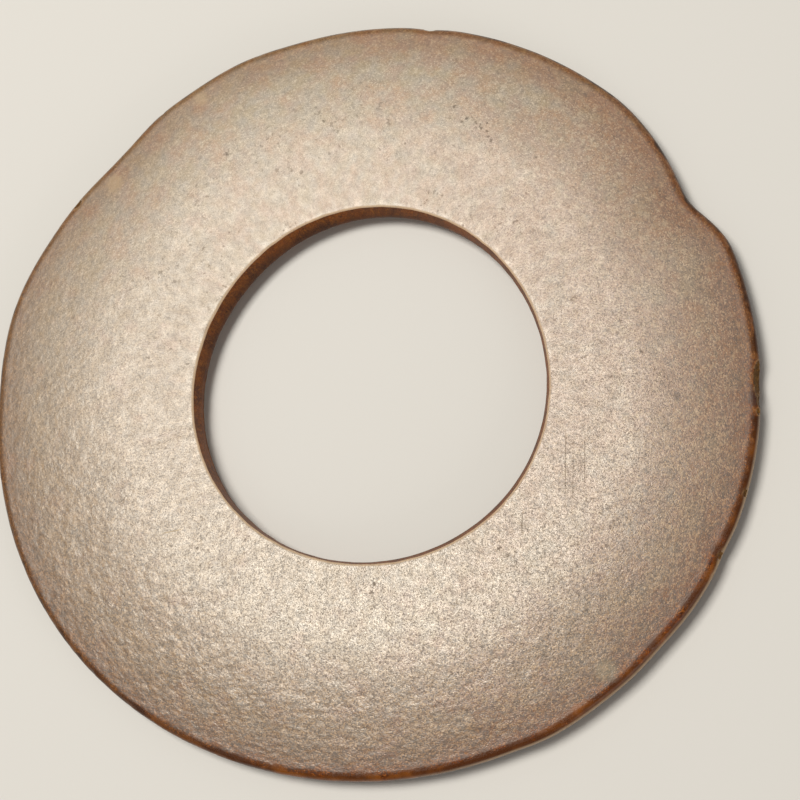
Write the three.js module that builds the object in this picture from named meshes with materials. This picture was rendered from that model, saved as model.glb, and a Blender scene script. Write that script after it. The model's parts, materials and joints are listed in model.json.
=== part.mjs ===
// Jade huan: an ancient flat ring of nephrite with a wide round hole, lying on one of its two faces.
// Millimetres, +Z up. The photographed face is up, and +Y is the top of the ring as it is shown.
// Angles are in degrees, counter-clockwise from +X seen from above, about the axis of the hole.
import * as THREE from 'three';

// Driving dimensions of the ring
const outerRadius = 63.2;        // mean radius of the outline, measured from the axis of the hole
const boreRadius = 29.5;         // mean radius of the hole where it meets the faces
const thickness = 5.8;           // over the two flat lands beside the hole
const landWidth = 12;            // flat land round the hole, on each face
const domeFall = 1.25;           // how far each face falls from its land to the rounded edge
const edgeRound = 1.8;           // width of the worn, rounded outer edge
const ridgeHeight = 0.79;        // mean height of the ridge half-way down the hole
const lipRound = 0.35;           // worn corner where the hole meets a face

// Slow waves that hand grinding left in the outline and drilling left in the hole. Each raises the
// radius by its height toward one direction, and as often round the ring as it has lobes.
const outlineWaves = [
  { lobes: 1, height: 1.5, toward: 213 },   // the hole is off the centre of the ring
  { lobes: 2, height: 0.7, toward: 18 },
  { lobes: 3, height: 0.45, toward: 84 },
];
const boreWaves = [{ lobes: 3, height: 0.3, toward: 88 }];

// The hole was drilled from both faces, and the two bores are a little off each other, so the ridge
// where they met stands highest at the upper left and almost dies away at the lower left.
const ridgeWaves = [
  { lobes: 1, height: 0.2, toward: 78 },
  { lobes: 2, height: 0.49, toward: 132 },
];

// Old breaks in the edge: straight flanks down to a tip, now rounded by wear. The reach to each side
// of the tip and the rounding of the tip are in degrees.
const breaks = [
  { at: 29.5, clockwise: 8, counter: 18.5, tip: 1.5, depth: 2.8 },    // notch, upper right
  { at: 82, clockwise: 2.5, counter: 2.5, tip: 0.5, depth: 0.35 },    // nick at the top
  { at: 334, clockwise: 3, counter: 4, tip: 0.5, depth: 0.3 },        // nick, lower right
  { at: 359, clockwise: 3, counter: 2.5, tip: 0.5, depth: 0.3 },      // chip on the right
];

// Soft flats that wear left in the outline, and the swellings between them, with a negative depth.
const wear = [
  { at: 113, clockwise: 10, counter: 11, depth: -0.4 },   // swelling beside the flat
  { at: 138, clockwise: 12, counter: 14, depth: 1.0 },    // the long flat, upper left
  { at: 166, clockwise: 16, counter: 18, depth: -0.95 },  // swelling on the left
  { at: 298, clockwise: 6, counter: 12, depth: -0.35 },   // swelling at the bottom
  { at: 318, clockwise: 7, counter: 7, depth: 0.25 },     // slight flat, lower right
];

// Fineness of the faceted solid: degrees between the sections, halved at the breaks, and the number
// of steps over the domed part and the rounded edge of each section
const sectionStep = 2;
const domeSteps = 4;
const edgeSteps = 3;

const radians = THREE.MathUtils.degToRad;

function waveHeight(waves, angle) {
  return waves.reduce((sum, wave) => {
    return sum + wave.height * Math.cos(wave.lobes * radians(angle - wave.toward));
  }, 0);
}

// How far an angle is from a feature, from -180 to 180, and the feature's reach on that side.
function offsetAndReach(feature, angle) {
  const offset = ((angle - feature.at + 540) % 360) - 180;
  return [offset, offset < 0 ? feature.clockwise : feature.counter];
}

function breakDepth(feature, angle) {
  const flankPower = 1.5;
  const [offset, reach] = offsetAndReach(feature, angle);
  const away = Math.hypot(offset, feature.tip) - feature.tip;
  return feature.depth * Math.max(0, 1 - away / reach) ** flankPower;
}

function wearDepth(feature, angle) {
  const [offset, reach] = offsetAndReach(feature, angle);
  const nearness = Math.max(0, 1 - Math.abs(offset) / reach);
  return (feature.depth * (1 - Math.cos(Math.PI * nearness))) / 2;
}

function outlineRadius(angle) {
  const broken = breaks.reduce((sum, feature) => sum + breakDepth(feature, angle), 0);
  const worn = wear.reduce((sum, feature) => sum + wearDepth(feature, angle), 0);
  return outerRadius + waveHeight(outlineWaves, angle) - broken - worn;
}

function holeRadius(angle) {
  return boreRadius + waveHeight(boreWaves, angle);
}

// Half of the ring's section at an angle, from the ridge in the hole to the tip of the outer edge.
// Each point is a radius and a height above the middle plane.
function halfSection(angle) {
  const hole = holeRadius(angle);
  const outline = outlineRadius(angle);
  const ridge = ridgeHeight + waveHeight(ridgeWaves, angle);
  const top = thickness / 2;
  const landEnd = hole + landWidth;
  const shoulder = outline - edgeRound;
  const shoulderHeight = top - domeFall;
  const points = [
    [hole - ridge, 0],
    [hole, top - lipRound],
    [hole + lipRound, top],
    [landEnd, top],
  ];
  for (let i = 1; i <= domeSteps; i += 1) {
    const way = i / domeSteps;
    points.push([landEnd + way * (shoulder - landEnd), top - domeFall * way ** 2]);
  }
  for (let i = 1; i <= edgeSteps; i += 1) {
    const turn = (Math.PI / 2) * (i / edgeSteps);
    points.push([shoulder + edgeRound * Math.sin(turn), shoulderHeight * Math.cos(turn)]);
  }
  return points;
}

// The whole section, once round: up the hole, over the upper face, and back along the underside.
function section(angle) {
  const upper = halfSection(angle);
  const lower = upper.slice(1, -1).reverse().map(([radius, height]) => [radius, -height]);
  return [...upper, ...lower];
}

// The angles of the sections, closer together where a break bends the outline sharply.
function sectionAngles() {
  const angles = [];
  for (let angle = 0; angle < 360; angle += sectionStep) {
    angles.push(angle);
    const halfway = angle + sectionStep / 2;
    if (breaks.some((feature) => breakDepth(feature, halfway) > 0)) {
      angles.push(halfway);
    }
  }
  return angles;
}

// A closed ring skin: each section is joined to the next, and the last one to the first.
function ringGeometry() {
  const rows = sectionAngles().map((angle) => section(angle).map(([radius, height]) => {
    return [radius * Math.cos(radians(angle)), radius * Math.sin(radians(angle)), height];
  }));
  const around = rows[0].length;
  const faces = [];
  for (let i = 0; i < rows.length; i += 1) {
    const next = (i + 1) % rows.length;
    for (let j = 0; j < around; j += 1) {
      const up = (j + 1) % around;
      const a = i * around + j;
      const b = next * around + j;
      const c = next * around + up;
      const d = i * around + up;
      faces.push(a, c, b, a, d, c);
    }
  }
  const geometry = new THREE.BufferGeometry();
  geometry.setAttribute('position', new THREE.Float32BufferAttribute(rows.flat(2), 3));
  geometry.setIndex(faces);
  geometry.computeVertexNormals();
  return geometry;
}

const jade = new THREE.MeshStandardMaterial({ color: 0x9a8470, roughness: 0.42, metalness: 0 });
const disc = new THREE.Mesh(ringGeometry(), jade);
disc.name = 'huan_disc';

// The origin is under the middle of the ring's box, on the surface that it lies on.
const box = new THREE.Box3().setFromObject(disc);
const middle = box.getCenter(new THREE.Vector3());
disc.position.set(-middle.x, -middle.y, -box.min.z);

const huan = new THREE.Group();
huan.add(disc);

export default huan;
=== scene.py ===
# %% [markdown]
# A jade huan is a flat ring ground from one piece of nephrite, with a wide hole drilled from both
# faces. The solid model already has its size, its worn outline and its section, so this lesson makes
# only what a solid is too coarse for: the fine skin of the stone, its scars, and its colour and sheen.
# We load the solid first, because everything else is measured from it.

# %% Load the solid
import json
import math
import random

import bpy
import numpy as np
from mathutils import Matrix, Vector, noise


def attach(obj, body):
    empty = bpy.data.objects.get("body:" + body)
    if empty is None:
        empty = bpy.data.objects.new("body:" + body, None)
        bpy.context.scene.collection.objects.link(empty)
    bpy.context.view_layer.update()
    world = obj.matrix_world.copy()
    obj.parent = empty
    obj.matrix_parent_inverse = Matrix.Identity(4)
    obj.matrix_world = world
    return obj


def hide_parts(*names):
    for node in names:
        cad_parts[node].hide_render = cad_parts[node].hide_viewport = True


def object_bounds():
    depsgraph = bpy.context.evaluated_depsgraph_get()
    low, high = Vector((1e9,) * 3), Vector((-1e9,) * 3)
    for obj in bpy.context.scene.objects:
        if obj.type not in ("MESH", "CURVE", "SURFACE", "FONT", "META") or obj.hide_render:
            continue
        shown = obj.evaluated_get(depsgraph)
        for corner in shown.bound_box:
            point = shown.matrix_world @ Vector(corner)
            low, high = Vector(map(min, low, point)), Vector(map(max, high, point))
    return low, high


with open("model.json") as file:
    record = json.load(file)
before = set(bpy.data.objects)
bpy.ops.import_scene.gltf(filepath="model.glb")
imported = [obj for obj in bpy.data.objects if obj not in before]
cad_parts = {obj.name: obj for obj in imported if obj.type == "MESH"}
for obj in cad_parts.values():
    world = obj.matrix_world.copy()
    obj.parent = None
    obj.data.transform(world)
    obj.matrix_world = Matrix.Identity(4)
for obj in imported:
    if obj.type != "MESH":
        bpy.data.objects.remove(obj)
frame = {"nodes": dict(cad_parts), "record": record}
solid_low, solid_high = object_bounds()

MM = 0.001
solid = frame["nodes"]["huan_disc"]
print("the solid is", [round(size / MM, 1) for size in solid_high - solid_low], "mm")

# %% [markdown]
# Sizes on the ring are told from the axis of its hole, as a lapidary would turn it under the drill.
# The record states the hole as a box that a cord can pass through, and the box is centred on that
# axis. The camera comes next. The ring is seen almost from above, tilted 17 degrees away from the
# upright toward the lower right, with a lens long enough to keep the circles nearly round.

# %% Find the axis of the hole
openings = frame["record"]["physics"]["openings"]
hole_low, hole_high = next(each["box_m"] for each in openings if each["name"] == "centre_hole")
hole_x = (hole_low[0] + hole_high[0]) / 2
hole_y = (hole_low[1] + hole_high[1]) / 2
top_height = solid_high.z
middle_height = top_height / 2
print("axis of the hole at", round(hole_x / MM, 2), round(hole_y / MM, 2), "mm")

# %% Set the camera
camera_tilt = math.radians(17.29)
camera_side = math.radians(-42.4)
camera_from_hole = Vector((68.94, -60.79, 276.18)) * MM
lens_length = 81
film_width = 36


def make_camera():
    """The camera leans away from straight down about a level axis square to its side of the ring."""
    camera = bpy.data.objects.new("camera", bpy.data.cameras.new("camera"))
    camera.data.lens = lens_length
    camera.data.sensor_width = film_width
    camera.data.clip_start = 10 * MM
    lean_axis = Vector((-math.sin(camera_side), math.cos(camera_side), 0))
    place = Vector((hole_x, hole_y, top_height)) + camera_from_hole
    camera.matrix_world = Matrix.Translation(place) @ Matrix.Rotation(camera_tilt, 4, lean_axis)
    bpy.context.scene.collection.objects.link(camera)
    bpy.context.scene.camera = camera


make_camera()
print("camera", round(camera_from_hole.length / MM), "mm from the hole")

# %% [markdown]
# The solid is built of sections that stand round the ring like slices of a cake. Each one can be read
# back from the corners of its mesh: the ridge in the hole, the lip, the end of the flat land, the
# domed part, and the tip of the edge. We could copy those sizes into this script, but a ring that is
# measured here will still fit when the solid changes.

# %% Read the sections of the solid
# Where each corner of a section stands in its upper half, from the hole outward
RIDGE, RIM, LIP, LAND, SHOULDER, TIP = 0, 1, 2, 3, 7, 10


def read_sections(mesh):
    """Angles in degrees, and for each the upper half of its section as rows of radius and height."""
    corners = np.array([corner.co for corner in mesh.vertices])
    east, north, up = (corners - (hole_x, hole_y, middle_height)).T
    radius = np.hypot(east, north)
    angle = np.round(np.degrees(np.arctan2(north, east)) * 2) / 2 % 360
    told = []
    for one in np.unique(angle):
        here = (angle == one) & (up > -MM / 100)
        rows = np.unique(np.round(np.column_stack((radius[here], up[here])), 6), axis=0)
        told.append(rows)
    return np.unique(angle), np.array(told)


section_angles, sections = read_sections(solid.data)
print(len(section_angles), "sections of", sections.shape[1], "points")

# %% [markdown]
# The fine skin is one closed grid of quads: loops that run round the ring, and steps along the
# section. The sections of the solid stand 2 degrees apart, so their readings are spread over steps
# of half a degree and eased a little, until no facet shows in the polish. On the right edge, where
# the largest chip will be cut, the steps stand five times closer, so that the chip gets a crisp rim.

# %% Spread the readings round the ring
even_step = 0.5
ease_passes = 10
close_from, close_to, close_count = 352.75, 362.75, 101

even_angles = np.arange(0, 360, even_step)
near_chip = (even_angles - close_from) % 360 < close_to - close_from
close_angles = np.linspace(close_from, close_to, close_count) % 360
fine_angles = np.sort(np.concatenate((even_angles[~near_chip], close_angles)))
around_steps = len(fine_angles)


def eased(values, passes, axis=0):
    """Values with each one drawn toward its neighbours, round a closed row, as often as asked."""
    for _ in range(passes):
        values = (np.roll(values, 1, axis) + 2 * values + np.roll(values, -1, axis)) / 4
    return values


def round_the_ring(station):
    """The radius of one station of the section, at every fine step round the ring."""
    even = np.interp(even_angles, section_angles, sections[:, station, 0], period=360)
    return np.interp(fine_angles, even_angles, eased(even, ease_passes), period=360)


ridge, rim, lip, land, shoulder, tip = map(round_the_ring, (RIDGE, RIM, LIP, LAND, SHOULDER, TIP))
rim_height, land_height, shoulder_height = (
    sections[:, station, 1].mean() for station in (RIM, LAND, SHOULDER)
)
print("edge from", round(tip.min() / MM, 1), "to", round(tip.max() / MM, 1), "mm from the axis")

# %% [markdown]
# A section is drawn in four strokes: the wall of the hole, the rounded lip, the face, and the worn
# outer edge. The face is flat beside the hole and then falls away as a shallow dome, which is what
# makes the polish bright near the hole and dull toward the edge. The underside is the same shape with
# fewer steps, because nothing there is seen as closely.

# %% Draw the section
# Steps over the wall of the hole, the lip, the face and the edge
upper_steps = (8, 4, 58, 10)
under_steps = (6, 3, 20, 6)
edge_fullness = 0.8
section_passes = 2


def shares(steps):
    """Even shares of the way along a stroke, from 0 up to but not including 1."""
    return np.arange(steps) / steps


def half_section(wall_steps, lip_steps, face_steps, edge_steps):
    """Radius and height above the middle, loop by loop, from the ridge to just before the tip."""
    loops = []
    for way in shares(wall_steps):
        loops.append((ridge + (rim - ridge) * way, rim_height * way))
    for way in shares(lip_steps) * math.pi / 2:
        height = rim_height + (land_height - rim_height) * math.sin(way)
        loops.append((rim + (lip - rim) * (1 - math.cos(way)), height))
    for way in shares(face_steps):
        radius = lip + (shoulder - lip) * way
        fallen = np.clip((radius - land) / (shoulder - land), 0, None) ** 2
        loops.append((radius, land_height + (shoulder_height - land_height) * fallen))
    for way in shares(edge_steps) * math.pi / 2:
        out, up = math.sin(way) ** edge_fullness, math.cos(way) ** edge_fullness
        loops.append((shoulder + (tip - shoulder) * out, shoulder_height * up))
    return [(radius, np.zeros(around_steps) + height) for radius, height in loops]


def whole_section():
    """All loops of the skin: up the hole, over the upper face, and back along the underside."""
    upper = half_section(*upper_steps)
    under = half_section(*under_steps)
    under = [(radius, -height) for radius, height in under[1:]]
    return upper + [(tip, np.zeros(around_steps))] + under[::-1]


loops = eased(np.array(whole_section()), section_passes)
print(len(loops), "loops,", len(loops) * around_steps * 2, "triangles")

# %% [markdown]
# From here on we ask the same things of the skin again and again: where its points are, which way
# they face, and how strong an effect is there. A share from 0 to 1 answers the last. It comes from
# how far out a point lies between the hole and the edge, and from the side of the ring it is on,
# because grinding, burial and wear did not treat all sides alike.

# %% Tools for shaping the skin
turn = np.radians(fine_angles)
radius, height = loops[:, 0], loops[:, 1]
across = np.clip((radius - rim) / (tip - rim), 0, 1)


def smooth_step(values, low, high):
    """0 below the low value, 1 above the high one, and an easy slope between them."""
    way = np.clip((values - low) / (high - low), 0, 1)
    return way * way * (3 - 2 * way)


def toward(side):
    """1 on one side of the ring, given in degrees, and -1 on the side across from it."""
    return np.cos(turn - math.radians(side))


def facing(side):
    """1 on one side of the ring, given in degrees, and 0 on the side across from it."""
    return 0.5 + 0.5 * toward(side)


def grid_points():
    """The skin as points, loop by loop."""
    east = hole_x + radius * np.cos(turn)
    north = hole_y + radius * np.sin(turn)
    return np.stack((east, north, middle_height + height), axis=-1)


def outward(points):
    """The direction that faces out of the stone at each point of the grid."""
    round_step = np.roll(points, -1, 1) - np.roll(points, 1, 1)
    section_step = np.roll(points, -1, 0) - np.roll(points, 1, 0)
    normal = np.cross(section_step, round_step)
    return normal / np.linalg.norm(normal, axis=-1, keepdims=True)


points = grid_points()
print("a grid of", points.shape[0], "by", points.shape[1], "points")

# %% [markdown]
# Now the skin gets its relief. A ring ground without a machine is never quite flat: its face swims in
# slow hollows, a few hundredths of a millimetre deep, and burial has left a leathery roughness that
# wear has polished off near the hole. Sculpting could make it too, but noise that is measured in
# millimetres gives the same skin on every run, and it can be turned up or down by one number.

# %% Raise the relief
# Each kind has the size of its bumps and how far they rise
slow_hollows = (17 * MM, 0.055 * MM)
small_hollows = (4.5 * MM, 0.007 * MM)
leather_bumps = (1.5 * MM, 0.045 * MM)
lip_wander = (3 * MM, 0.08 * MM)
leather_side = 238
least_leather = 0.15


def noise_at(points, size, seed):
    """Smooth noise from about -1 to 1 at each point, with bumps as wide as the size."""
    shift = Vector((seed, 2 * seed, 3 * seed))
    return np.array([noise.fractal(Vector(point) / size + shift, 1, 2, 3) for point in points])


def relief(kind, seed):
    """The height of one kind of relief over the whole grid."""
    size, depth = kind
    return depth * noise_at(points.reshape(-1, 3), size, seed).reshape(radius.shape)


leather_share = smooth_step(across, 0.1, 0.65) * facing(leather_side) ** 2
lip_share = 1 - smooth_step(np.abs(radius - rim), 0.2 * MM, 1.2 * MM)
raised = relief(slow_hollows, 1) + relief(small_hollows, 2)
raised += np.clip(leather_share, least_leather, 1) * relief(leather_bumps, 3)
raised += lip_share * relief(lip_wander, 4)
points += outward(points) * raised[..., None]
print("relief from", round(raised.min() / MM, 3), "to", round(raised.max() / MM, 3), "mm")

# %% [markdown]
# Jade breaks like flint, in shallow shells. Each scar is cut by an unseen ball: whatever of the skin
# lies inside the ball is pushed back to its surface, which leaves a crisp rim and a clean hollow. The
# large scar is on the right edge, with a second bite beside it, and small dings follow the edge.

# %% Chip the edge
random.seed(4)
# Each scar has its angle in degrees, how far it leans up from level, the ball's radius and the depth
scars = [
    (359.6, 27, 9.0, 0.40),
    (356.6, 8, 1.8, 0.62),
    (354.9, 35, 0.9, 0.14),
    (147.6, 50, 2.4, 0.20),
    (82.0, 25, 2.2, 0.22),
    (333.6, 25, 2.4, 0.20),
    (343.0, 30, 2.0, 0.12),
]
rim_width = 0.2 * MM
ding_count = 26
ding_depth = 0.05 * MM


def edge_point(angle, lean):
    """A place on the rounded edge whose normal leans up by so many degrees."""
    lifted = math.radians(90 - lean)
    outer = np.interp(angle, fine_angles, tip, period=360)
    inner = np.interp(angle, fine_angles, shoulder, period=360)
    out = inner + (outer - inner) * math.sin(lifted)
    up = shoulder_height * math.cos(lifted)
    way = math.radians(angle)
    return np.array((hole_x + out * math.cos(way), hole_y + out * math.sin(way), middle_height + up))


def bite(angle, lean, ball, depth):
    """Push the skin inside one ball back to the ball. Tells what was moved, and what lies close by."""
    way, rise = math.radians(angle), math.radians(lean)
    out = np.array((math.cos(way) * math.cos(rise), math.sin(way) * math.cos(rise), math.sin(rise)))
    centre = edge_point(angle, lean) + out * (ball - depth)
    gap = points - centre
    distance = np.linalg.norm(gap, axis=-1)
    inside = distance < ball
    points[inside] = centre + gap[inside] * (ball / distance[inside])[:, None]
    return inside, np.where(inside, 0, 1 - smooth_step(distance - ball, 0, rim_width))


scarred = np.zeros(radius.shape, bool)
scar_rim = np.zeros(radius.shape)
for angle, lean, ball, depth in scars:
    inside, close_by = bite(angle, lean, ball * MM, depth * MM)
    scarred |= inside
    scar_rim = np.maximum(scar_rim, close_by)
for _ in range(ding_count):
    angle, lean = random.uniform(0, 360), random.uniform(-60, 60)
    bite(angle, lean, random.uniform(0.8, 2) * MM, ding_depth)
points[..., 2] = np.maximum(points[..., 2], 0)
print(int(scarred.sum()), "points of the skin lie in scars")

# %% [markdown]
# Before the mesh is made, the finish gets its shares too. The grit is coarsest at the bottom. The
# stone's colour is lighter toward the top, with painted sheen on two opposite sides of the flat land
# and painted shade at the lower right; there the painted amber glow is widest, and the very edge is
# painted pale as a reflection. A cosine raised to a power gathers an effect on its side of the ring:
# the higher the power, the narrower the side.

# %% Share out the finish
grit_side, amber_side, pale_tip_side = 290, 300, 318
lighter_side, painted_sheen_sides, painted_dim_side = 90, 100, 322
lightness_stretch = 1.25
gritless_edge = 1.3 * MM

grit_share = 0.62 + 0.38 * toward(grit_side) + 0.25 * (across - 0.5)
grit_share += 0.5 * np.maximum(across - 0.5, 0) * (toward(grit_side) - 0.5)
grit_share = np.clip(grit_share, 0.1, 1.25) * smooth_step(tip - radius, 0, gritless_edge)
amber_width = 0.7 + 2.05 * facing(amber_side) ** 3
pale_tip_share = smooth_step(toward(pale_tip_side), 0.7, 0.93)
domed = smooth_step(across, 0.25, 0.7)
tone_and_painted_light = 0.5 + 0.5 * toward(lighter_side) * (domed + 0.05)
# Painted sheen: this term lightens the colour on two opposite sides, most on the flat land.
tone_and_painted_light += np.cos(2 * (turn - math.radians(painted_sheen_sides))) * (0.22 - 0.06 * domed)
# Painted shade: the dimming darkens the colour at the lower right, beside the hole and on the dome.
painted_dimming = 0.22 * smooth_step(across, 0.35, 0.5) * smooth_step(across, 0.9, 0.65)
painted_dimming += 0.2 * smooth_step(across, 0.35, 0.1)
tone_and_painted_light = (tone_and_painted_light - painted_dimming * facing(painted_dim_side) ** 2) / lightness_stretch
print("amber from", round(amber_width.min(), 2), "to", round(amber_width.max(), 2), "mm wide")

# %% [markdown]
# The grid becomes a mesh. Beside its shape it carries what the finish will ask for, as attributes:
# where each point is along and across the ring, in millimetres, how far it is from the outline and
# from the hole, and the shares. The place along the ring is a point on a circle, not an angle, so the
# grain has no seam where the angle starts again.

# %% Make the mesh
grain_radius = 46 * MM


def ring_faces(rows, columns):
    """The quads of a grid that is closed both ways."""
    row, column = np.meshgrid(np.arange(rows), np.arange(columns), indexing="ij")
    next_row, next_column = (row + 1) % rows, (column + 1) % columns
    corners = (row, column), (next_row, column), (next_row, next_column), (row, next_column)
    return np.stack([first * columns + second for first, second in corners], axis=-1).reshape(-1, 4)


def way_over_section():
    """How far each point is from the ridge in the hole, over whichever face is nearer."""
    out = np.diff(radius, axis=0, prepend=radius[-1:])
    up = np.diff(height, axis=0, prepend=height[-1:])
    steps = np.hypot(out, up)
    way = np.cumsum(steps, axis=0) - steps[:1]
    return np.minimum(way, way[-1:] + steps[:1] - way)


def add_attribute(mesh, name, kind, values):
    """Store one value or one vector for each point of the mesh."""
    key = "vector" if kind == "FLOAT_VECTOR" else "value"
    layer = mesh.attributes.new(name, kind, "POINT")
    layer.data.foreach_set(key, np.asarray(values, np.float32).ravel())


def make_ring():
    """The finished skin as one object, smooth shaded."""
    mesh = bpy.data.meshes.new("huan_skin")
    mesh.from_pydata(points.reshape(-1, 3).tolist(), [], ring_faces(*radius.shape).tolist())
    mesh.shade_smooth()
    circle = grain_radius / MM * np.stack((np.cos(turn), np.sin(turn)))
    along = np.broadcast_to(circle[:, None, :], (2, *radius.shape))
    place = np.stack((*along, way_over_section() / MM), axis=-1)
    add_attribute(mesh, "ring_place", "FLOAT_VECTOR", place)
    shares_told = {
        "edge_gap": (tip - radius) / MM,
        "hole_gap": (radius - rim) / MM,
        "leather_share": leather_share,
        "grit_share": grit_share,
        "amber_width": amber_width,
        "tone_and_painted_light": tone_and_painted_light,
        "pale_tip_share": pale_tip_share,
        "scar_rim": scar_rim,
    }
    for name, values in shares_told.items():
        add_attribute(mesh, name, "FLOAT", np.broadcast_to(values, radius.shape))
    ring = bpy.data.objects.new("huan_skin", mesh)
    bpy.context.scene.collection.objects.link(ring)
    return ring


ring = make_ring()
print(len(ring.data.polygons), "quads in the skin")

# %% [markdown]
# The finish is built from nodes. A few helpers keep that short: one adds a node and fills its inputs
# with plain values or with the sockets that feed them, and the others mix two colours, turn a range
# of values into a mask, and do a sum. Two more make an empty group and a new material.

# %% Helpers for nodes
def add_node(tree, kind, settings=None, inputs=None):
    """A new shader node. Each input is given as a plain value or as the socket that feeds it."""
    node = tree.nodes.new("ShaderNode" + kind)
    for name, value in (settings or {}).items():
        setattr(node, name, value)
    for name, value in (inputs or {}).items():
        if isinstance(value, bpy.types.NodeSocket):
            tree.links.new(value, node.inputs[name])
        else:
            node.inputs[name].default_value = value
    return node


def mix_colours(tree, share, first, second, blend="MIX"):
    """The first colour, with the second over it by the share."""
    settings = {"data_type": "RGBA", "blend_type": blend}
    return add_node(tree, "Mix", settings, {0: share, 6: first, 7: second}).outputs[2]


def mask_from(tree, value, low, high):
    """0 where the value is at the low end, 1 where it is at the high end, easy between."""
    inputs = {"Value": value, "From Min": low, "From Max": high}
    return add_node(tree, "MapRange", {"interpolation_type": "SMOOTHSTEP"}, inputs).outputs["Result"]


def reckon(tree, operation, first, second=0.0):
    """One sum on two values."""
    return add_node(tree, "Math", {"operation": operation}, {0: first, 1: second}).outputs[0]


def noise_value(tree, place, size, detail=2.0, seed=0.0):
    """Noise from 0 to 1 with patches as wide as the size, in the units of the place."""
    inputs = {"Vector": place, "W": seed, "Scale": 1 / size, "Detail": detail}
    return add_node(tree, "TexNoise", {"noise_dimensions": "4D"}, inputs).outputs["Fac"]


def attribute(tree, name, output="Fac"):
    """A value that the mesh carries."""
    return add_node(tree, "Attribute", {"attribute_name": name}).outputs[output]


def scaled(tree, value, factor, plus=0.0):
    """A value times a factor, plus a number."""
    inputs = {0: value, 1: factor, 2: plus}
    return add_node(tree, "Math", {"operation": "MULTIPLY_ADD"}, inputs).outputs[0]


def new_group(name, inputs, outputs):
    """An empty node group with named sockets, and the sockets of its input and output."""
    group = bpy.data.node_groups.new(name, "ShaderNodeTree")
    for socket, kind, value in inputs:
        made = group.interface.new_socket(socket, in_out="INPUT", socket_type="NodeSocket" + kind)
        if value is not None:
            made.default_value = value
    for socket, kind in outputs:
        group.interface.new_socket(socket, in_out="OUTPUT", socket_type="NodeSocket" + kind)
    return group, group.nodes.new("NodeGroupInput").outputs, group.nodes.new("NodeGroupOutput").inputs


def use_group(tree, group, inputs):
    """Place a node group in a material, with this material's own values."""
    node = tree.nodes.new("ShaderNodeGroup")
    node.node_tree = group
    for name, value in inputs.items():
        if isinstance(value, bpy.types.NodeSocket):
            tree.links.new(value, node.inputs[name])
        else:
            node.inputs[name].default_value = value
    return node


def new_material(name):
    """A material with its Principled shader, and its node tree."""
    material = bpy.data.materials.new(name)
    material.use_nodes = True
    return material, material.node_tree, material.node_tree.nodes["Principled BSDF"]


# %% [markdown]
# Three finishes meet on the ring: the patinated skin, the wall that the drill cut, and the fresh
# stone in the scars. They share two effects, so each is a node group that the finishes use with their
# own values. The first is the mottle of the stone: patches a few millimetres wide that drift between
# a rosy brown and a grey green, with paler clouds in them, and a sand of dark and bright grains, which
# are partly the stone's own speckle and partly painted shade and glints of its fine relief. The
# grains are the cells of a Voronoi texture. Each cell has a random colour: its red tells how dark the
# grain is, and its green whether it is one of the few bright ones.

# %% Group for the mottle
grains_per_mm = 6.0
mottle_inputs = [
    ("Place", "Vector", None),
    ("Drift", "Float", 0.5),
    ("Rosy", "Color", (0.280, 0.143, 0.068, 1)),
    ("Grey", "Color", (0.262, 0.176, 0.097, 1)),
    ("Pale", "Color", (0.40, 0.275, 0.16, 1)),
    ("Dark", "Color", (0.32, 0.265, 0.20, 1)),
    ("Bright", "Color", (0.62, 0.45, 0.28, 1)),
    ("Flecks", "Float", 1.0),
]
cool_tint, warm_tint = (0.95, 1.0, 1.14, 1), (1.05, 1.0, 0.86, 1)


def make_mottle():
    """Patches of two colours that drift into each other, with pale clouds and a sand of grains."""
    outputs = [("Colour", "Color"), ("Grains", "Float")]
    group, given, result = new_group("stone_mottle", mottle_inputs, outputs)
    place = given["Place"]
    patches = reckon(group, "ADD", noise_value(group, place, 3.2, 3, 1), given["Drift"])
    body = mix_colours(group, mask_from(group, patches, 0.84, 1.16), given["Rosy"], given["Grey"])
    warm = mask_from(group, noise_value(group, place, 2.1, 1, 4), 0.3, 0.7)
    tint = mix_colours(group, warm, cool_tint, warm_tint)
    body = mix_colours(group, 1.0, body, tint, "MULTIPLY")
    pale = mask_from(group, noise_value(group, place, 0.9, 3, 2), 0.5, 0.72)
    pale = reckon(group, "MULTIPLY", pale, given["Flecks"])
    body = mix_colours(group, pale, body, given["Pale"])
    cells = add_node(group, "TexVoronoi", None, {"Vector": place, "Scale": grains_per_mm})
    split = add_node(group, "SeparateColor", None, {"Color": cells.outputs["Color"]}).outputs
    dark = mask_from(group, noise_value(group, place, 0.4, 3, 3), 0.46, 0.72)
    grains = reckon(group, "POWER", split["Red"], 2)
    grains = reckon(group, "MAXIMUM", grains, scaled(group, dark, 0.5))
    group.links.new(grains, result["Grains"])
    dark = reckon(group, "MAXIMUM", scaled(group, grains, 0.9), dark)
    dark = reckon(group, "MULTIPLY", dark, given["Flecks"])
    body = mix_colours(group, dark, body, given["Dark"], "MULTIPLY")
    # The bright grains are partly painted glints.
    bright = mask_from(group, split["Green"], 0.72, 0.97)
    bright = scaled(group, reckon(group, "MULTIPLY", bright, given["Flecks"]), 0.5)
    group.links.new(mix_colours(group, bright, body, given["Bright"]), result["Colour"])
    return group


mottle = make_mottle()
print("mottle group with", len(mottle.nodes), "nodes")

# %% [markdown]
# The second effect is the grain of the surface: a leathery roughness under a millimetre wide, and
# finer grit in it, on the same cells as the dark and bright grains. The group puts out only a height,
# and each finish decides how deep it is.

# %% Group for the grain
grain_inputs = [("Place", "Vector", None), ("Leather", "Float", 0.5), ("Grit", "Float", 0.5)]


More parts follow.
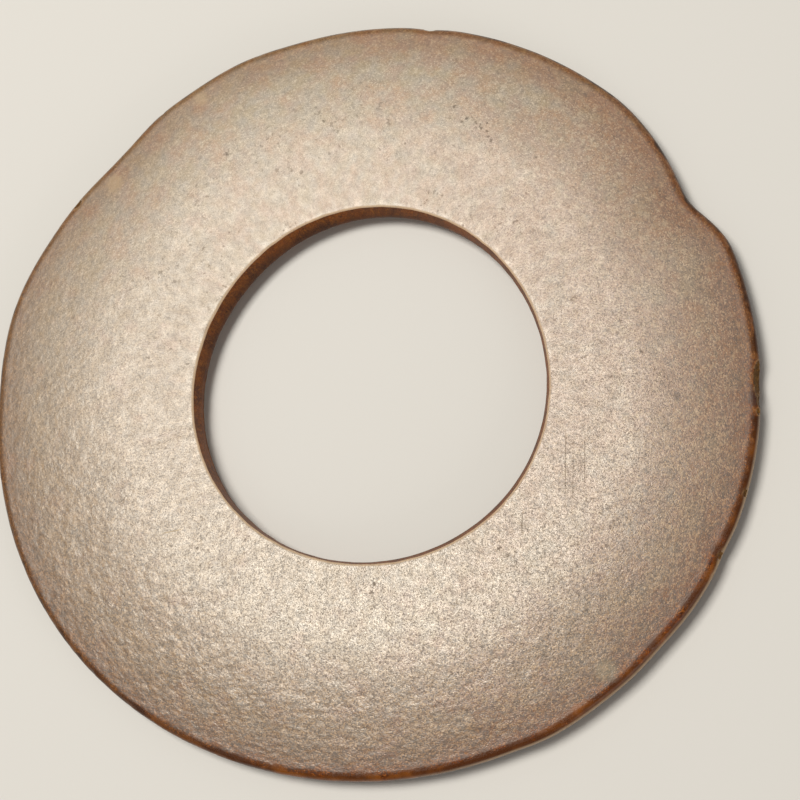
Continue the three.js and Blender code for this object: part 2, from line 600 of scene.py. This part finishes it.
def make_grain():
    """A height from 0 to 1: rounded bumps with finer grit over them."""
    group, given, result = new_group("stone_grain", grain_inputs, [("Height", "Float")])
    place = given["Place"]
    leather = noise_value(group, place, 0.8, 2, 5)
    cells = add_node(group, "TexVoronoi", None, {"Vector": place, "Scale": grains_per_mm})
    leather = reckon(group, "MULTIPLY", leather, given["Leather"])
    grit = reckon(group, "MULTIPLY", cells.outputs["Distance"], given["Grit"])
    group.links.new(reckon(group, "SUBTRACT", leather, grit), result["Height"])
    return group


grain = make_grain()
print("grain group with", len(grain.nodes), "nodes")

# %% [markdown]
# Some marks have a place of their own on the upper face: dark pits, a few small stains, a patch of
# painted shade in the recess beside the large chip, and the fine lines that a grinding stone left.
# Each is a row of numbers here. A pit, a stain or the shade is placed by its angle in degrees and its
# distance from the axis of the hole, and a line by its two ends, in millimetres to the right of the
# axis and up from it.

# %% Marks of the upper face
# Angle, distance from the axis, and size of each pit
pit_places = [
    (122.3, 47.8, 0.22),
    (73.8, 48.5, 0.16),
    (71.3, 46.3, 0.05),
    (70.6, 47.1, 0.14),
    (69.6, 47.45, 0.06),
    (68.6, 46.75, 0.15),
    (68.0, 45.9, 0.06),
    (67.4, 46.75, 0.05),
    (66.9, 46.2, 0.14),
    (66.2, 47.3, 0.05),
    (65.6, 46.0, 0.09),
    (64.9, 45.3, 0.05),
    (63.8, 44.9, 0.18),
    (53.7, 45.8, 0.10),
    (101.0, 46.2, 0.12),
    (273.5, 32.4, 0.20),
    (272.6, 33.7, 0.14),
    (309.2, 34.7, 0.16),
    (309.8, 36.4, 0.14),
]
# Angle, distance, size, strength and colour of each stain; the last is painted shade in the chip's
# recess
stains_and_painted_shade = [
    (310.2, 59.6, 1.1, 0.35, (0.27, 0.235, 0.15, 1)),
    (141.5, 58.8, 1.0, 0.45, (0.38, 0.26, 0.13, 1)),
    (121.3, 59.7, 0.7, 0.40, (0.40, 0.28, 0.15, 1)),
    # Painted shade: the dark recess beside the large chip.
    (357.0, 61.8, 0.8, 0.85, (0.04, 0.014, 0.009, 1)),
]
# Start, end, width, strength and colour of each line
dark_line, pale_line = (0.06, 0.045, 0.03, 1), (0.62, 0.50, 0.34, 1)
strokes = [
    ((32.2, -8), (32.2, -19), 0.14, 0.32, dark_line),
    ((33.4, -11), (33.4, -20), 0.12, 0.28, dark_line),
    ((35.2, -9), (35.2, -18), 0.14, 0.30, dark_line),
    ((25.5, -21), (25.4, -25), 0.14, 0.45, dark_line),
    ((-34.0, -24.2), (-30.2, -23.4), 0.13, 0.60, pale_line),
]
print(len(pit_places), "pits,", len(stains_and_painted_shade), "stains and", len(strokes), "lines")

# %% [markdown]
# A row of numbers becomes a mark through a mask: a value that is 1 inside the mark and 0 outside it.
# The mask of a spot is made from the distance to its centre, and a little noise added to that
# distance makes its outline ragged. The mask of a line is made from the distances along it and beside
# it. All marks are held to the upper half of the ring, or they would go right through to the other.

# %% Masks for the marks
pit_softness, stain_and_shade_softness = 0.4, 1.3
rag_size, rag_allowed = 0.35, 0.4


def spot_mask(tree, angle, out, size, softness):
    """1 in a ragged spot, placed by its angle and its distance from the axis of the hole."""
    way = math.radians(angle)
    centre = (hole_x + out * MM * math.cos(way), hole_y + out * MM * math.sin(way), 0)
    position = add_node(tree, "NewGeometry").outputs["Position"]
    flat = add_node(tree, "VectorMath", {"operation": "MULTIPLY"}, {0: position, 1: (1, 1, 0)})
    inputs = {0: flat.outputs["Vector"], 1: centre}
    gap = add_node(tree, "VectorMath", {"operation": "DISTANCE"}, inputs).outputs["Value"]
    rag = noise_value(tree, attribute(tree, "ring_place", "Vector"), rag_size, 2, 8)
    core = size + rag_allowed
    return mask_from(tree, scaled(tree, gap, 1 / MM, rag), core + softness, core)


def stroke_mask(tree, start, end, width):
    """1 along a fine straight line from one place to another, in millimetres from the axis."""
    length = math.dist(start, end)
    along = Vector((end[0] - start[0], end[1] - start[1], 0)) / length
    origin = Vector((hole_x / MM + start[0], hole_y / MM + start[1], 0)) * MM
    position = add_node(tree, "NewGeometry").outputs["Position"]
    gap = add_node(tree, "VectorMath", {"operation": "SUBTRACT"}, {0: position, 1: origin})
    reach = []
    for way in (along / MM, Vector((along.y, -along.x, 0)) / MM):
        inputs = {0: gap.outputs["Vector"], 1: way}
        told = add_node(tree, "VectorMath", {"operation": "DOT_PRODUCT"}, inputs)
        reach.append(told.outputs["Value"])
    from_middle = reckon(tree, "ABSOLUTE", reckon(tree, "SUBTRACT", reach[0], length / 2))
    line = mask_from(tree, reckon(tree, "ABSOLUTE", reach[1]), width, width * 0.3)
    return reckon(tree, "MULTIPLY", line, mask_from(tree, from_middle, length / 2, length / 4))


def upper_mask(tree):
    """1 on the upper half of the ring, 0 on its underside."""
    position = add_node(tree, "NewGeometry").outputs["Position"]
    height = add_node(tree, "SeparateXYZ", None, {"Vector": position}).outputs["Z"]
    return mask_from(tree, height, middle_height, middle_height * 1.1)


def pit_mask(tree):
    """1 in the dark pits of the upper face."""
    mask = 0.0
    for angle, out, size in pit_places:
        mask = reckon(tree, "MAXIMUM", mask, spot_mask(tree, angle, out, size, pit_softness))
    return mask


# %% [markdown]
# The patinated skin is a satin: under the polish the stone is brown, and the polish reflects the
# light so broadly that the flat land beside the hole looks cream. We lay its colour on in layers, as
# a painter would. The first is the stone itself, rosier on one side of the ring than on the other and
# lighter toward the top, with painted sheen on two sides of the land, painted shade at the lower
# right, and a painted highlight on the lip of the hole.

# %% Colour of the faces
rosy_side, rosy_pull = 20, 0.12
darker_end_tint, paler_end_tint = (0.71, 0.61, 0.48, 1), (1.21, 1.51, 2.0, 1)
lip_highlight_colour = (0.75, 0.56, 0.38, 1)


def face_colour(tree, place, flecks):
    """The mottled stone as a colour, and the grains in it."""
    side = math.radians(rosy_side)
    pull = Vector((math.cos(side), math.sin(side), 0)) * rosy_pull * MM / grain_radius
    rosier = add_node(tree, "VectorMath", {"operation": "DOT_PRODUCT"}, {0: place, 1: pull})
    drift = scaled(tree, noise_value(tree, place, 15, 1, 9), 0.3, 0.38)
    drift = reckon(tree, "SUBTRACT", drift, rosier.outputs["Value"])
    stone = use_group(tree, mottle, {"Place": place, "Drift": drift, "Flecks": flecks}).outputs
    # Painted sheen and shade: lighter toward the top, brighter on two sides of the land, darker at the
    # lower right.
    tint = mix_colours(tree, attribute(tree, "tone_and_painted_light"), darker_end_tint, paler_end_tint)
    body = mix_colours(tree, 1.0, stone["Colour"], tint, "MULTIPLY")
    # Painted highlight: a cream line on the lip of the hole, where the rounded rim catches the light.
    lip = scaled(tree, mask_from(tree, attribute(tree, "hole_gap"), 0.5, 0.15), 0.6)
    return mix_colours(tree, lip, body, lip_highlight_colour), stone["Grains"]


# %% [markdown]
# The next layers follow the edge. The whole outer zone is browner than the land, and the last three
# millimetres are browner still, and more orange at the lower right. Where the stone is thinnest,
# light would come through it; that glow is painted, as amber in a band with a ragged border, brighter
# at the lower right. Each layer is a mask made from the distance to the edge, so it can be moved in
# or out by changing two numbers. At the very edge of the lower right a pale line is painted as a
# reflection.

# %% Colour toward the edge
outer_tint, brown_tint = (0.77, 0.60, 0.47, 1), (0.95, 0.88, 0.76, 1)
orange_tint = (1.0, 0.65, 0.26, 1)
dark_amber, lit_amber = (0.08, 0.024, 0.006, 1), (0.21, 0.066, 0.009, 1)
unlit_tint, no_tint = (0.32, 0.36, 0.4, 1), (1.0, 1.0, 1.0, 1)
painted_tip_reflection = (0.34, 0.225, 0.13, 1)


def edge_colour(tree, place, body):
    """The skin's colour: browner toward the edge, with a painted amber glow and reflection at it."""
    edge_gap = attribute(tree, "edge_gap")
    width = attribute(tree, "amber_width")
    glow_and_orange_side = mask_from(tree, width, 0.5, 2.6)
    # Painted glow: amber stands in for light coming through the thin stone, lit in patches and dimmer
    # away from the lower right.
    lit = mask_from(tree, noise_value(tree, place, 3.5, 3, 10), 0.45, 0.68)
    amber = mix_colours(tree, lit, dark_amber, lit_amber)
    through = mix_colours(tree, glow_and_orange_side, unlit_tint, no_tint)
    amber = mix_colours(tree, 1.0, amber, through, "MULTIPLY")
    outer = mask_from(tree, edge_gap, 9, 0.5)
    body = mix_colours(tree, outer, body, outer_tint, "MULTIPLY")
    browned = mask_from(tree, edge_gap, 3.2, 0.7)
    body = mix_colours(tree, browned, body, brown_tint, "MULTIPLY")
    oranged = reckon(tree, "MULTIPLY", mask_from(tree, edge_gap, 3.2, 0.8), glow_and_orange_side)
    body = mix_colours(tree, oranged, body, orange_tint, "MULTIPLY")
    ragged = mask_from(tree, noise_value(tree, place, 1.8, 4, 12), 0.25, 0.75)
    reach = reckon(tree, "SUBTRACT", edge_gap, reckon(tree, "MULTIPLY", ragged, width))
    body = mix_colours(tree, mask_from(tree, reach, 0.25, -0.3), body, amber)
    # Painted reflection: a pale line along the very edge at the lower right, where it would mirror the
    # bright surroundings.
    tip_reflection = mask_from(tree, edge_gap, 0.4, 0.1)
    tip_reflection = reckon(tree, "MULTIPLY", tip_reflection, attribute(tree, "pale_tip_share"))
    return mix_colours(tree, tip_reflection, body, painted_tip_reflection)


# %% [markdown]
# The last layers are the marks. The pits share their colour with a scatter of specks, which come from
# noise: one that says where the specks gather, and a finer one that says where each of them is.

# %% Lay the marks over the colour
chip_rim_colour, chip_rim_strength = (0.5, 0.32, 0.13, 1), 0.35
pit_colour, pit_strength = (0.045, 0.03, 0.02, 1), 0.6
speck_strength = 0.45


def marked_colour(tree, place, body):
    """The skin's colour with its marks, and a value that tells how far they dull the polish."""
    upper = upper_mask(tree)
    for angle, out, size, strength, colour in stains_and_painted_shade:
        spot = spot_mask(tree, angle, out, size, stain_and_shade_softness)
        spot = reckon(tree, "MULTIPLY", spot, upper)
        body = mix_colours(tree, scaled(tree, spot, strength), body, colour)
    dull = 0.0
    for start, end, width, strength, colour in strokes:
        stroke = reckon(tree, "MULTIPLY", stroke_mask(tree, start, end, width), upper)
        stroke = scaled(tree, stroke, strength)
        body = mix_colours(tree, stroke, body, colour)
        dull = reckon(tree, "MAXIMUM", dull, stroke)
    chip_rim = scaled(tree, attribute(tree, "scar_rim"), chip_rim_strength)
    body = mix_colours(tree, chip_rim, body, chip_rim_colour)
    pits = reckon(tree, "MULTIPLY", pit_mask(tree), upper)
    gathered = mask_from(tree, noise_value(tree, place, 8, 2, 14), 0.44, 0.6)
    specks = mask_from(tree, noise_value(tree, place, 0.8, 2, 15), 0.62, 0.67)
    specks = scaled(tree, reckon(tree, "MULTIPLY", specks, gathered), speck_strength)
    pits = scaled(tree, reckon(tree, "MAXIMUM", pits, specks), pit_strength)
    return mix_colours(tree, pits, body, pit_colour), reckon(tree, "MAXIMUM", dull, pits)


# %% [markdown]
# Colour is half of the finish, and the polish is the other half. The roughness says how broadly the
# skin reflects the light: it is highest in the pits and the lines, varies from grain to grain where
# the grit is coarse, and drops near the edge, which was rubbed the most. The bump gives the light the
# fine grain to catch on, without any more triangles.

# %% Patinated skin
satin, satin_change = 0.395, 0.06
grain_glint, mean_glint = 0.26, 0.095
mark_dulling, edge_polish = 0.4, 0.14
grain_depth = 0.07 * MM
jade_index = 1.61


def skin_roughness(tree, place, grains, grit_share, dull):
    """How rough the polish is, from the slow wear of the skin down to its single grains."""
    worn = mask_from(tree, noise_value(tree, place, 1.8, 3, 11), 0.3, 0.7)
    rough = scaled(tree, worn, satin_change, satin)
    glints = reckon(tree, "MULTIPLY", scaled(tree, grains, grain_glint, -mean_glint), grit_share)
    rough = reckon(tree, "ADD", rough, glints)
    rough = scaled(tree, dull, mark_dulling, rough)
    polished = mask_from(tree, attribute(tree, "edge_gap"), 1.9, 0.7)
    return scaled(tree, polished, -edge_polish, rough)


def skin_normal(tree, place, grit_share):
    """The fine grain, leathery where burial left it so and gritty where the grit is coarse."""
    leather = scaled(tree, attribute(tree, "leather_share"), 0.95, 0.22)
    grit = scaled(tree, grit_share, 0.16)
    grown = use_group(tree, grain, {"Place": place, "Leather": leather, "Grit": grit}).outputs
    inputs = {"Strength": 1.0, "Distance": grain_depth, "Height": grown["Height"]}
    return add_node(tree, "Bump", None, inputs).outputs["Normal"]


def make_patina(name, gloss):
    """The finish of the skin. The gloss is how strongly its polish mirrors."""
    material, tree, shader = new_material(name)
    place = attribute(tree, "ring_place", "Vector")
    grit_share = attribute(tree, "grit_share")
    body, grains = face_colour(tree, place, scaled(tree, grit_share, 0.85, 0.48))
    body, dull = marked_colour(tree, place, edge_colour(tree, place, body))
    rough = skin_roughness(tree, place, grains, grit_share, dull)
    tree.links.new(body, shader.inputs["Base Color"])
    tree.links.new(rough, shader.inputs["Roughness"])
    tree.links.new(skin_normal(tree, place, grit_share), shader.inputs["Normal"])
    shader.inputs["IOR"].default_value = jade_index
    shader.inputs["Specular IOR Level"].default_value = gloss
    return material


patina = make_patina("patinated_jade", 0.95)
worn_border = make_patina("worn_border", 0.55)
worn_edge = make_patina("worn_edge", 0.2)
print("patina with", len(patina.node_tree.nodes), "nodes")

# %% [markdown]
# The wall of the hole was never polished, so it kept the dark brown of the raw stone and the fine
# rings that the drill left; deeper in the hole its colour is darkened further as painted shade. The
# scars are younger than the patina, and show the stone itself: olive and amber, smooth and glossy.

# %% Drilled wall and fresh scars
wall_colours = {
    "Rosy": (0.25, 0.07, 0.006, 1),
    "Grey": (0.13, 0.036, 0.006, 1),
    "Pale": (0.30, 0.10, 0.01, 1),
    "Bright": (0.32, 0.115, 0.016, 1),
}
scar_colours = {
    "Rosy": (0.17, 0.068, 0.007, 1),
    "Grey": (0.10, 0.05, 0.006, 1),
    "Pale": (0.24, 0.115, 0.018, 1),
    "Bright": (0.26, 0.13, 0.025, 1),
}
painted_bore_shade = (0.5, 0.5, 0.62, 1)
ring_stretch = (0.04, 0.04, 1)
drill_depth = 0.03 * MM


def make_wall():
    """The finish of the hole's wall, ringed by the drill."""
    material, tree, shader = new_material("drilled_wall")
    place = attribute(tree, "ring_place", "Vector")
    body = use_group(tree, mottle, {"Place": place, **wall_colours}).outputs["Colour"]
    # Painted shade: the wall darkens toward the ridge, deep in the hole.
    bore_shade = mask_from(tree, attribute(tree, "hole_gap"), -0.1, -1.1)
    body = mix_colours(tree, bore_shade, body, painted_bore_shade, "MULTIPLY")
    tree.links.new(body, shader.inputs["Base Color"])
    shader.inputs["Roughness"].default_value = 0.5
    shader.inputs["Specular IOR Level"].default_value = 0.25
    along = add_node(tree, "VectorMath", {"operation": "MULTIPLY"}, {0: place, 1: ring_stretch})
    rings = noise_value(tree, along.outputs["Vector"], 0.3, 1, 13)
    grown = use_group(tree, grain, {"Place": place, "Leather": 0.5, "Grit": 0.15}).outputs
    height = reckon(tree, "ADD", grown["Height"], rings)
    bump = add_node(tree, "Bump", None, {"Strength": 1.0, "Distance": drill_depth, "Height": height})
    tree.links.new(bump.outputs["Normal"], shader.inputs["Normal"])
    return material


def make_scar():
    """The finish of the fresh breaks."""
    material, tree, shader = new_material("fresh_scar")
    place = attribute(tree, "ring_place", "Vector")
    body = use_group(tree, mottle, {"Place": place, **scar_colours}).outputs["Colour"]
    tree.links.new(body, shader.inputs["Base Color"])
    shader.inputs["Roughness"].default_value = 0.4
    shader.inputs["Specular IOR Level"].default_value = 0.06
    return material


drilled_wall = make_wall()
fresh_scar = make_scar()
print("wall with", len(drilled_wall.node_tree.nodes), "nodes")

# %% [markdown]
# Every quad of the skin now gets the slot of its finish. The rounded edge leans over so far that at
# full gloss it would mirror the pale floor as a grey line. So the patina is used three times: glossy
# on the faces, nearly matte on the worn edge, and between them a border that hides the step. Slow
# noise makes the border stray, because a line that runs even with the edge would catch the eye.

# %% Give each quad its finish
FACE, WALL, SCAR, EDGE, BORDER = range(5)
wall_height, wall_reach = 0.985, 0.25
edge_reach = (0.25 + 0.3 * amber_width) * MM
border_width = 0.6 * MM
border_stray = (2 * MM, 0.25 * MM)


def finish_slots():
    """The slot of each quad, in the order of the materials."""
    wall = np.abs(loops[:, 1]).max(1) < land_height * wall_height
    wall &= (loops[:, 0] < rim + wall_reach * (lip - rim)).all(1)
    in_wall = np.repeat(wall & np.roll(wall, -1), around_steps)
    corner_scars = scarred & np.roll(scarred, -1, 0)
    in_scar = (corner_scars & np.roll(corner_scars, -1, 1)).ravel()
    inward = (tip - radius - edge_reach - relief(border_stray, 7)).ravel()
    places = [in_scar, in_wall, inward < 0, inward < border_width]
    return np.select(places, [SCAR, WALL, EDGE, BORDER], FACE).astype(np.int32)


for material in (patina, drilled_wall, fresh_scar, worn_edge, worn_border):
    ring.data.materials.append(material)
slots = finish_slots()
ring.data.polygons.foreach_set("material_index", slots)
print("quads in each finish:", np.bincount(slots).tolist())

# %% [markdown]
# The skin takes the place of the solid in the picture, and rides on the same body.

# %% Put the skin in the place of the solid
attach(ring, "root")
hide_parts("huan_disc")
print(ring.name, "stands in the place of", solid.name)

# %% [markdown]
# The stage is a plain pale floor under soft studio light. The largest light hangs where the flat land
# of the ring mirrors it into the camera, because a satin stone shows its polish only there: the land
# glows, and the domed part, which leans away, falls off into brown.

# %% Floor and lights
floor_reach = 1.5
floor_colour = (0.66, 0.672, 0.69, 1)
sky_colour, sky_strength = (1.0, 0.92, 0.8, 1), 0.24
# Name, place, width, power and colour of each light
lights = [
    ("sheen_light", (-0.221, 0.152, 0.872), 0.36, 7.8, (1.0, 0.93, 0.81)),
    ("edge_light", (0.5, -0.5, 0.22), 0.4, 0.9, (1.0, 0.93, 0.84)),
]


def make_floor(reach):
    """A pale matte floor, far wider than the picture."""
    corners = [(-reach, -reach, 0), (reach, -reach, 0), (reach, reach, 0), (-reach, reach, 0)]
    mesh = bpy.data.meshes.new("floor")
    mesh.from_pydata(corners, [], [(0, 1, 2, 3)])
    floor = bpy.data.objects.new("floor", mesh)
    bpy.context.scene.collection.objects.link(floor)
    material, tree, shader = new_material("pale_floor")
    shader.inputs["Base Color"].default_value = floor_colour
    shader.inputs["Roughness"].default_value = 0.9
    mesh.materials.append(material)


def make_softbox(name, place, width, power, colour):
    """A square light that faces the ring."""
    lamp = bpy.data.lights.new(name, "AREA")
    lamp.size = width
    lamp.energy = power
    lamp.color = colour
    softbox = bpy.data.objects.new(name, lamp)
    softbox.location = place
    softbox.rotation_euler = (-Vector(place)).to_track_quat("-Z", "Y").to_euler()
    bpy.context.scene.collection.objects.link(softbox)


def make_sky():
    """An even pale sky that fills the shadows."""
    world = bpy.data.worlds.new("sky")
    world.use_nodes = True
    background = world.node_tree.nodes["Background"]
    background.inputs["Color"].default_value = sky_colour
    background.inputs["Strength"].default_value = sky_strength
    bpy.context.scene.world = world


make_floor(floor_reach)
for light in lights:
    make_softbox(*light)
make_sky()
bpy.context.scene.view_settings.view_transform = "Standard"
print(len(lights), "soft lights over a floor", 2 * floor_reach, "m wide")

# %% [markdown]
# At the end the size of the solid's box is printed; the dressed ring should agree with it to a
# tenth of a millimetre or so.

# %% Print the box of the solid
print("solid", [round(size / MM, 2) for size in solid_high - solid_low])
